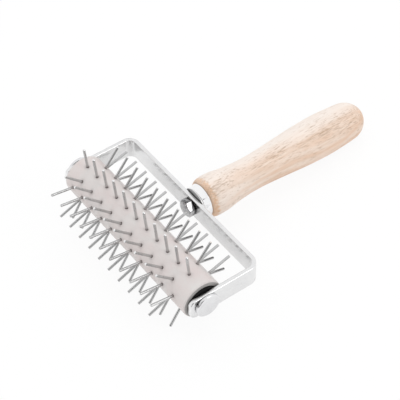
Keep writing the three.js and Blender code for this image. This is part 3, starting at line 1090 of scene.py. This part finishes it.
def with_value(tree, shape, name, value, domain):
    """The shape with a number stored on it under a name."""
    return shape_node(tree, "GeometryNodeStoreNamedAttribute", {
        "Geometry": shape, "Name": name, "Value": value,
    }, data_type="FLOAT", domain=domain)


# %% The pins
PIN_RADIUS = 0.8 * MM
PIN_EDGE = 0.2 * MM
PIN_SIDES = 14
TONE_SEED = 4
RANDOM_NUMBER = 1

tree, given, result = node_tree(
    "pin_field", Float=("Pin Radius", "Pin Length", "Tip Edge"), Int=("Sides", "Seed"), Material=("Steel",),
)
shaft_length = calc(tree, "SUBTRACT", given["Pin Length"], given["Tip Edge"])
shaft = rod(tree, given["Sides"], given["Pin Radius"], shaft_length)
tip = add_node(tree, "GeometryNodeExtrudeMesh", {
    "Mesh": raised(tree, shaft["Mesh"], times(tree, shaft_length, 0.5)),
    "Selection": shaft["Top"], "Offset Scale": given["Tip Edge"],
}, mode="FACES").outputs
tip_radius_left = calc(tree, "SUBTRACT", given["Pin Radius"], given["Tip Edge"])
cut_tip = shape_node(tree, "GeometryNodeScaleElements", {
    "Geometry": tip["Mesh"], "Selection": tip["Top"],
    "Scale": calc(tree, "DIVIDE", tip_radius_left, given["Pin Radius"]),
})
tone = add_node(tree, "FunctionNodeRandomValue", {"Seed": given["Seed"]}, data_type="FLOAT")
field = standing(tree, given["Geometry"], cut_tip)
toned = with_value(tree, field, "pin_tone", tone.outputs[RANDOM_NUMBER], "INSTANCE")
tree.links.new(coated(tree, realized(tree, toned), given["Steel"]), result["Geometry"])

pins_mesh = run_tree(pin_places, tree, {
    "Pin Radius": PIN_RADIUS, "Pin Length": tip_radius - sleeve_radius + PIN_ROOT,
    "Tip Edge": PIN_EDGE, "Sides": PIN_SIDES, "Seed": TONE_SEED, "Steel": pin_steel,
})
pins = show("pins", pins_mesh, pin_steel)
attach(pins, "roller")
print("pins:", len(pins_mesh.polygons), "faces, values:", [a.name for a in pins_mesh.attributes])

# %% [markdown]
# The plastic shrinks a little round each pin as it cools, and leaves a shallow pit at its
# foot. The pit's walls get a darker plastic, as painted shade, so it reads as a dark ring. The
# same points carry the pits: the tree stands a short plug on each, cuts it out of the sleeve,
# and stores how near each point of the sleeve is to a pin, for the painted shade round the pins.

# %% The sleeve's tube
SLEEVE_SIDES = 192
SLEEVE_RINGS = 150
BORE_EDGE = 0.3 * MM

side_end = max(p.x for p, r in zip(roller_points, reach) if abs(r - sleeve_radius) < WELD)
end_round = sleeve_end - side_end
steps = [side_end * (2 * i / SLEEVE_RINGS - 1) for i in range(1, SLEEVE_RINGS)]
tube = [(-sleeve_end, bore_radius), (-sleeve_end, sleeve_radius)]
tube += [(x, sleeve_radius) for x in steps if abs(x) < side_end - end_round]
tube += [(sleeve_end, sleeve_radius), (sleeve_end, bore_radius)]
edge_sizes = [BORE_EDGE, end_round] + [0.0] * (len(tube) - 4) + [end_round, BORE_EDGE]
sleeve = spun("sleeve", rounded(tube, edge_sizes, True), ALONG_X, True, sleeve_plastic, SLEEVE_SIDES)
print(f"a tube with ends rounded by {end_round / MM:.2f} mm")

# %% Pits at the pins' feet
PIT_RADIUS = 1.0 * MM
PIT_DEPTH = 0.35 * MM
PIT_SIDES = 16
CUTTER_LENGTH = 2 * MM
SHADE_START = 1.2 * MM
SHADE_END = 2.6 * MM

tree, given, result = node_tree(
    "foot_pits", Object=("Pins",),
    Float=("Pit Radius", "Pit Bottom", "Foot Height", "Cutter Length", "Shade Start", "Shade End"),
    Int=("Sides",), Material=("Plastic", "Pit Plastic"),
)
spots = shape_node(tree, "GeometryNodeObjectInfo", {"Object": given["Pins"]}, transform_space="ORIGINAL")
pit = rod(tree, given["Sides"], given["Pit Radius"], given["Cutter Length"])
half_cutter = times(tree, given["Cutter Length"], 0.5)
lifted = raised(tree, pit["Mesh"], plus(tree, given["Pit Bottom"], half_cutter))
cutters = realized(tree, standing(tree, spots, lifted))

rise = vector_math(tree, "SCALE", {0: outward_way(tree), "Scale": given["Foot Height"]})
feet = shape_node(tree, "GeometryNodeSetPosition", {"Geometry": spots, "Offset": rise})
nearest = add_node(tree, "GeometryNodeProximity", {0: feet}, target_element="POINTS")
near = spread(tree, nearest.outputs["Distance"], given["Shade Start"], given["Shade End"], 1.0, 0.0)
marked = with_value(tree, given["Geometry"], "near_pin", near, "POINT")
cut = add_node(tree, "GeometryNodeMeshBoolean", {
    "Mesh 1": coated(tree, marked, given["Plastic"]),
    # The pits' walls take the darker pit plastic: painted shade.
    "Mesh 2": coated(tree, cutters, given["Pit Plastic"]),
}, operation="DIFFERENCE", solver="MANIFOLD")
tree.links.new(cut.outputs["Mesh"], result["Geometry"])

sleeve.data = run_tree(sleeve, tree, {
    "Pins": pin_places, "Pit Radius": PIT_RADIUS, "Pit Bottom": PIN_ROOT - PIT_DEPTH,
    "Foot Height": PIN_ROOT, "Cutter Length": CUTTER_LENGTH, "Sides": PIT_SIDES,
    "Shade Start": SHADE_START, "Shade End": SHADE_END,
    "Plastic": sleeve_plastic, "Pit Plastic": pit_plastic,
})
sleeve.data.set_sharp_from_angle(angle=SHARP_ANGLE)
bpy.data.objects.remove(pin_places)
stands_for(sleeve, "pin_roller", "roller")
print("sleeve values:", [a.name for a in sleeve.data.attributes])

# %% [markdown]
# The black plugs, the axle with its formed head, the riveted disc, the collar, the ferrule and
# the insert are all turned or drawn pieces, so each is its own outline, rounded and spun. Thin
# sheet gets a smaller edge than a moulding or a formed head.

# %% Turned and drawn pieces
MOULDED_EDGE = 0.3 * MM
FORMED_EDGE = 0.5 * MM
SHEET_EDGE = 0.15 * MM
CUT_EDGE = 0.15 * MM

TURNED = [
    ("plug_right", "end_plug_right", ALONG_X, True, MOULDED_EDGE, plug_plastic, "plug_plastic", "roller"),
    ("plug_left", "end_plug_left", ALONG_X, True, MOULDED_EDGE, plug_plastic, "plug_plastic", "roller"),
    ("axle", "axle_rod", ALONG_X, False, FORMED_EDGE, head_steel, "bright_steel", "frame"),
    ("axle_disc", "axle_end_disc", ALONG_X, True, FORMED_EDGE, head_steel, "bright_steel", "frame"),
    ("insert", "handle_insert", ALONG_Y, True, CUT_EDGE, brass, "brass", "frame"),
    ("collar_disc", "collar", ALONG_Y, True, CUT_EDGE, dark_steel, "dark_steel", "frame"),
    ("ferrule_cup", "ferrule", ALONG_Y, True, SHEET_EDGE, ferrule_steel, "bright_steel", "frame"),
]
for name, node, along, closed, size, material, slot, body in TURNED:
    corners = outline_of(node, along)
    outline = rounded(corners, [size] * len(corners), closed)
    stands_for(spun(name, outline, along, closed, material), node, body)

# %% [markdown]
# The strap is one flat bar bent to a U. It is swept: a rounded section follows the line of the
# bends, and narrows at both ends to give the arms their round corners. The sweep also knows
# how far along the bar each point is, which the finish needs for its lengthwise lines.

# %% The strap's measures
strap_points = measured("frame_strap")
arm_tip = min(p.y for p in strap_points)
bar_outside = max(p.y for p in strap_points)
arm_outside = max(p.x for p in strap_points)
arm_inside = min(abs(p.x) for p in strap_points if p.y - arm_tip < WELD)
thickness = arm_outside - arm_inside
bend_start = max(p.y for p in strap_points if abs(p.x - arm_inside) < WELD)
bend_radius = bar_outside - thickness / 2 - bend_start
strap_half = max(p.z for p in strap_points)
hole_radius = min(math.hypot(p.y, p.z) for p in strap_points)
print(f"strap {2 * strap_half / MM:.1f} x {thickness / MM:.1f} mm, bends of {bend_radius / MM:.2f} mm")

# %% The strap's middle line
STRAP_EDGE = 0.4 * MM
ARM_CORNER = 4 * MM
BEND_STEPS = 20
CORNER_STEPS = 8
EDGE_STEPS = 3


def arc_steps(size, count):
    """Places from 0 to the size where an arc of that radius has turned by equal steps."""
    return [size * (1 - math.cos(math.pi / 2 * i / count)) for i in range(count + 1)]


def half_line():
    """The bar's middle from the right arm's end to the bar's middle: places, ways out, lengths."""
    middle_x = arm_inside + thickness / 2
    straight = bend_start - arm_tip
    marks = arc_steps(STRAP_EDGE, EDGE_STEPS) + arc_steps(ARM_CORNER, CORNER_STEPS)
    marks = sorted({*marks, straight * 0.5, straight})
    line = [(Vector((middle_x, arm_tip + s)), Vector((1, 0)), s) for s in marks]
    centre = Vector((middle_x - bend_radius, bend_start))
    for i in range(1, BEND_STEPS + 1):
        angle = math.pi / 2 * i / BEND_STEPS
        way = Vector((math.cos(angle), math.sin(angle)))
        line.append((centre + way * bend_radius, way, straight + bend_radius * angle))
    rest = centre.x + bend_radius * math.pi / 2
    line.append((Vector((0, bend_start + bend_radius)), Vector((0, 1)), straight + rest))
    return line


right_half = half_line()
full_length = 2 * right_half[-1][2]
left_half = [
    (Vector((-p.x, p.y)), Vector((-w.x, w.y)), full_length - s) for p, w, s in reversed(right_half[:-1])
]
strap_line = right_half + left_half
print(f"a bar {full_length / MM:.1f} mm long, in {len(strap_line)} stations")


# %% Sweep the strap
def cut_back(size, to_end):
    """How far an arc of that radius at the bar's end takes a side in."""
    if to_end >= size:
        return 0.0
    return size - math.sqrt(max(0.0, size ** 2 - (size - to_end) ** 2))


def bar_section(to_end):
    """The bar's section as (across, height, edge), smaller near the bar's end."""
    inset = cut_back(STRAP_EDGE, to_end)
    half_width = strap_half - inset - cut_back(ARM_CORNER, to_end)
    half_thick = thickness / 2 - inset
    section = []
    for side_x, side_z, quarter in ((1, 1, 0), (-1, 1, 1), (-1, -1, 2), (1, -1, 3)):
        for i in range(EDGE_STEPS + 1):
            angle = math.pi / 2 * (quarter + i / EDGE_STEPS)
            across = side_x * (half_thick - STRAP_EDGE) + STRAP_EDGE * math.cos(angle)
            height = side_z * (half_width - STRAP_EDGE) + STRAP_EDGE * math.sin(angle)
            edge = 1.0 if inset > 0 or 0 < i < EDGE_STEPS else 0.0
            section.append((across, height, edge))
    return section


bm = bmesh.new()
rings = []
edges = []
for place, way, along in strap_line:
    section = bar_section(min(along, full_length - along))
    rings.append(([bm.verts.new((*(place + way * a), h)) for a, h, _ in section], along, section))
    edges += [edge for _, _, edge in section]
uv_layer = bm.loops.layers.uv.new("along_bar")
for (first, s0, section), (second, s1, _) in zip(rings, rings[1:]):
    for i in range(len(first)):
        j = (i + 1) % len(first)
        face = bm.faces.new((first[i], first[j], second[j], second[i]))
        for loop, s, k in zip(face.loops, (s0, s0, s1, s1), (i, j, j, i)):
            loop[uv_layer].uv = (s, section[k][1] + section[k][0])
bm.faces.new(rings[0][0])
bm.faces.new(list(reversed(rings[-1][0])))
bm.transform(TOOL)
strap = show("strap", mesh_from(bm, "strap", edge=edges), strap_steel)
print("strap swept:", len(strap.data.polygons), "faces")

# %% Holes in the strap
HOLE_SIDES = 48
OVERRUN = 1 * MM


def drill(name, low, high, along):
    """A round cutter of the holes' radius from one place to another on an axis."""
    outline = [(low, 0.0, 0.0), (low, hole_radius, 0.0), (high, hole_radius, 0.0), (high, 0.0, 0.0)]
    return spun(name, outline, along, False, strap_steel, HOLE_SIDES)


drills = [
    drill("axle_drill", -arm_outside - OVERRUN, arm_outside + OVERRUN, ALONG_X),
    drill("screw_drill", bar_outside - thickness - OVERRUN, bar_outside + OVERRUN, ALONG_Y),
]
for cutter in drills:
    hole = strap.modifiers.new(cutter.name, "BOOLEAN")
    hole.object = cutter
    hole.solver = "EXACT"
strap.data = baked(strap)
strap.data.set_sharp_from_angle(angle=SHARP_ANGLE)
for cutter in drills:
    bpy.data.objects.remove(cutter)
stands_for(strap, "frame_strap", "frame")
print("strap values:", [a.name for a in strap.data.attributes])

# %% [markdown]
# The hexagon head is a turned blank with six flats. One formula gives its outline seen from
# the end: the sum of high powers of three cosines is a hexagon whose corners are a little soft,
# as on a forged head. The chamfer rises with the distance from the axis, so it cuts the corners
# in the well-known arcs.

# %% The screw's measures
HEX_POWER = 60
HEAD_SIDES = 120
CHAMFER_SLOPE = math.tan(math.radians(28))
FACE_SHARE = 0.93
HEAD_EDGE = 0.15 * MM
SEAT_SHADE_HEIGHT = 1.3 * MM
TIP_CHAMFER = 0.6 * MM

screw_points = measured("handle_screw")
farthest = max(screw_points, key=lambda p: math.hypot(p.x, p.z))
corner_radius = math.hypot(farthest.x, farthest.z)
flat_angle = math.atan2(farthest.z, farthest.x) + math.pi / 6
half_flats = corner_radius * math.cos(math.pi / 6)
head_top = min(p.y for p in screw_points)
head_seat = max(p.y for p in screw_points if math.hypot(p.x, p.z) > half_flats)
screw_tip = max(p.y for p in screw_points)
shank_radius = max(math.hypot(p.x, p.z) for p in screw_points if p.y > head_seat + OVERRUN)
print(f"screw: {2 * half_flats / MM:.1f} mm over the flats, head {(head_seat - head_top) / MM:.1f} mm high")


# %% The screw
def hexagon(angle):
    """Radius of the head's side in one direction."""
    total = sum(abs(math.cos(angle - flat_angle - k * math.pi / 3)) ** HEX_POWER for k in range(3))
    return half_flats / total ** (1 / HEX_POWER)


def screw_rings(angle):
    """The screw's outline at one angle, from its face to its tip: (radius, place, edge, painted seat shade)."""
    face = half_flats * FACE_SHARE
    side = hexagon(angle)
    return [
        (face * 0.5, head_top, 0.0, 0.0),
        (face, head_top, 0.8, 0.0),
        (side, head_top + (side - face) * CHAMFER_SLOPE, 0.6, 0.0),
        # The lowest band of the head's side, down to the strap, carries the painted shade.
        (side, head_seat - SEAT_SHADE_HEIGHT, 0.0, 0.0),
        (side, head_seat - HEAD_EDGE, 0.0, 1.0),
        (side - HEAD_EDGE, head_seat, 0.0, 1.0),
        (shank_radius, head_seat, 0.0, 1.0),
        (shank_radius, screw_tip - TIP_CHAMFER, 0.0, 0.0),
        (shank_radius - TIP_CHAMFER, screw_tip, 0.5, 0.0),
    ]


bm = bmesh.new()
angles = [flat_angle + math.pi / 6 + 2 * math.pi * i / HEAD_SIDES for i in range(HEAD_SIDES)]
columns = []
edges = []
grime = []
for angle in angles:
    column = []
    for radius, place, edge, seat_shade_amount in screw_rings(angle):
        column.append(bm.verts.new((radius * math.cos(angle), place, radius * math.sin(angle))))
        edges.append(edge)
        grime.append(seat_shade_amount)
    columns.append(column)
poles = [bm.verts.new((0, head_top, 0)), bm.verts.new((0, screw_tip, 0))]
edges += [0.0, 0.0]
grime += [0.0, 0.0]
for first, second in zip(columns, columns[1:] + columns[:1]):
    for i in range(len(first) - 1):
        bm.faces.new((first[i], first[i + 1], second[i + 1], second[i]))
    bm.faces.new((poles[0], first[0], second[0]))
    bm.faces.new((poles[1], first[-1], second[-1]))
bm.transform(TOOL)
screw = show("hex_screw", mesh_from(bm, "hex_screw", edge=edges, grime=grime), screw_steel)
stands_for(screw, "handle_screw", "frame")

# %% [markdown]
# The handle was turned from one piece of pale wood. The measured outline gives its stations
# from the shoulder to the butt, and a smooth curve through them takes out the facets. Only the
# spigot, which the ferrule grips, keeps its straight lines.

# %% The handle
HANDLE_SIDES = 144
CURVE_STEPS = 5
SHOULDER_EDGE = 0.2 * MM
SPIGOT_EDGE = 0.3 * MM


def smooth_curve(points, steps):
    """A curve through (place, radius) points whose last one is the pole, with fine steps."""
    mirror = Vector((points[-2].x, -points[-2].y))
    run = [points[0] * 2 - points[1]] + points + [mirror]
    fine = []
    for a, b, c, d in zip(run, run[1:], run[2:], run[3:]):
        for step in range(steps):
            t = step / steps
            fine.append((
                b * 2 + (c - a) * t + (a * 2 - b * 5 + c * 4 - d) * t ** 2
                + (b * 3 - a - c * 3 + d) * t ** 3
            ) / 2)
    return fine + [points[-1]]


corners = outline_of("handle", ALONG_Y)
front = min(place for place, radius in corners)
face = next(i for i, (place, radius) in enumerate(corners) if place < front + WELD)
shoulder = next(
    i for i in range(face + 2, len(corners))
    if abs(corners[i][0] - corners[i - 1][0]) < WELD and corners[i][1] > corners[i - 1][1] + WELD
)
print("the shoulder starts at", [round(c / MM, 2) for c in corners[shoulder]], "mm")
outside = smooth_curve([Vector(c) for c in corners[shoulder:]], CURVE_STEPS)
turned = corners[:shoulder] + [tuple(p) for p in outside]
edge_sizes = [SPIGOT_EDGE] * shoulder + [SHOULDER_EDGE] + [0.0] * (len(outside) - 1)
handle = spun("wood_handle", rounded(turned, edge_sizes, False), ALONG_Y, False, wood, HANDLE_SIDES)
stands_for(handle, "handle", "frame")

# %% [markdown]
# Last, the box of the finished model is set beside the box of the measured one.

# %% Finish
visual_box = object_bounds()
print("CAD box", [[round(c, 4) for c in corner] for corner in cad_box])
print("visual box", [[round(c, 4) for c in corner] for corner in visual_box])
sizes = {"cad": [list(c) for c in cad_box], "visual": [list(c) for c in visual_box]}
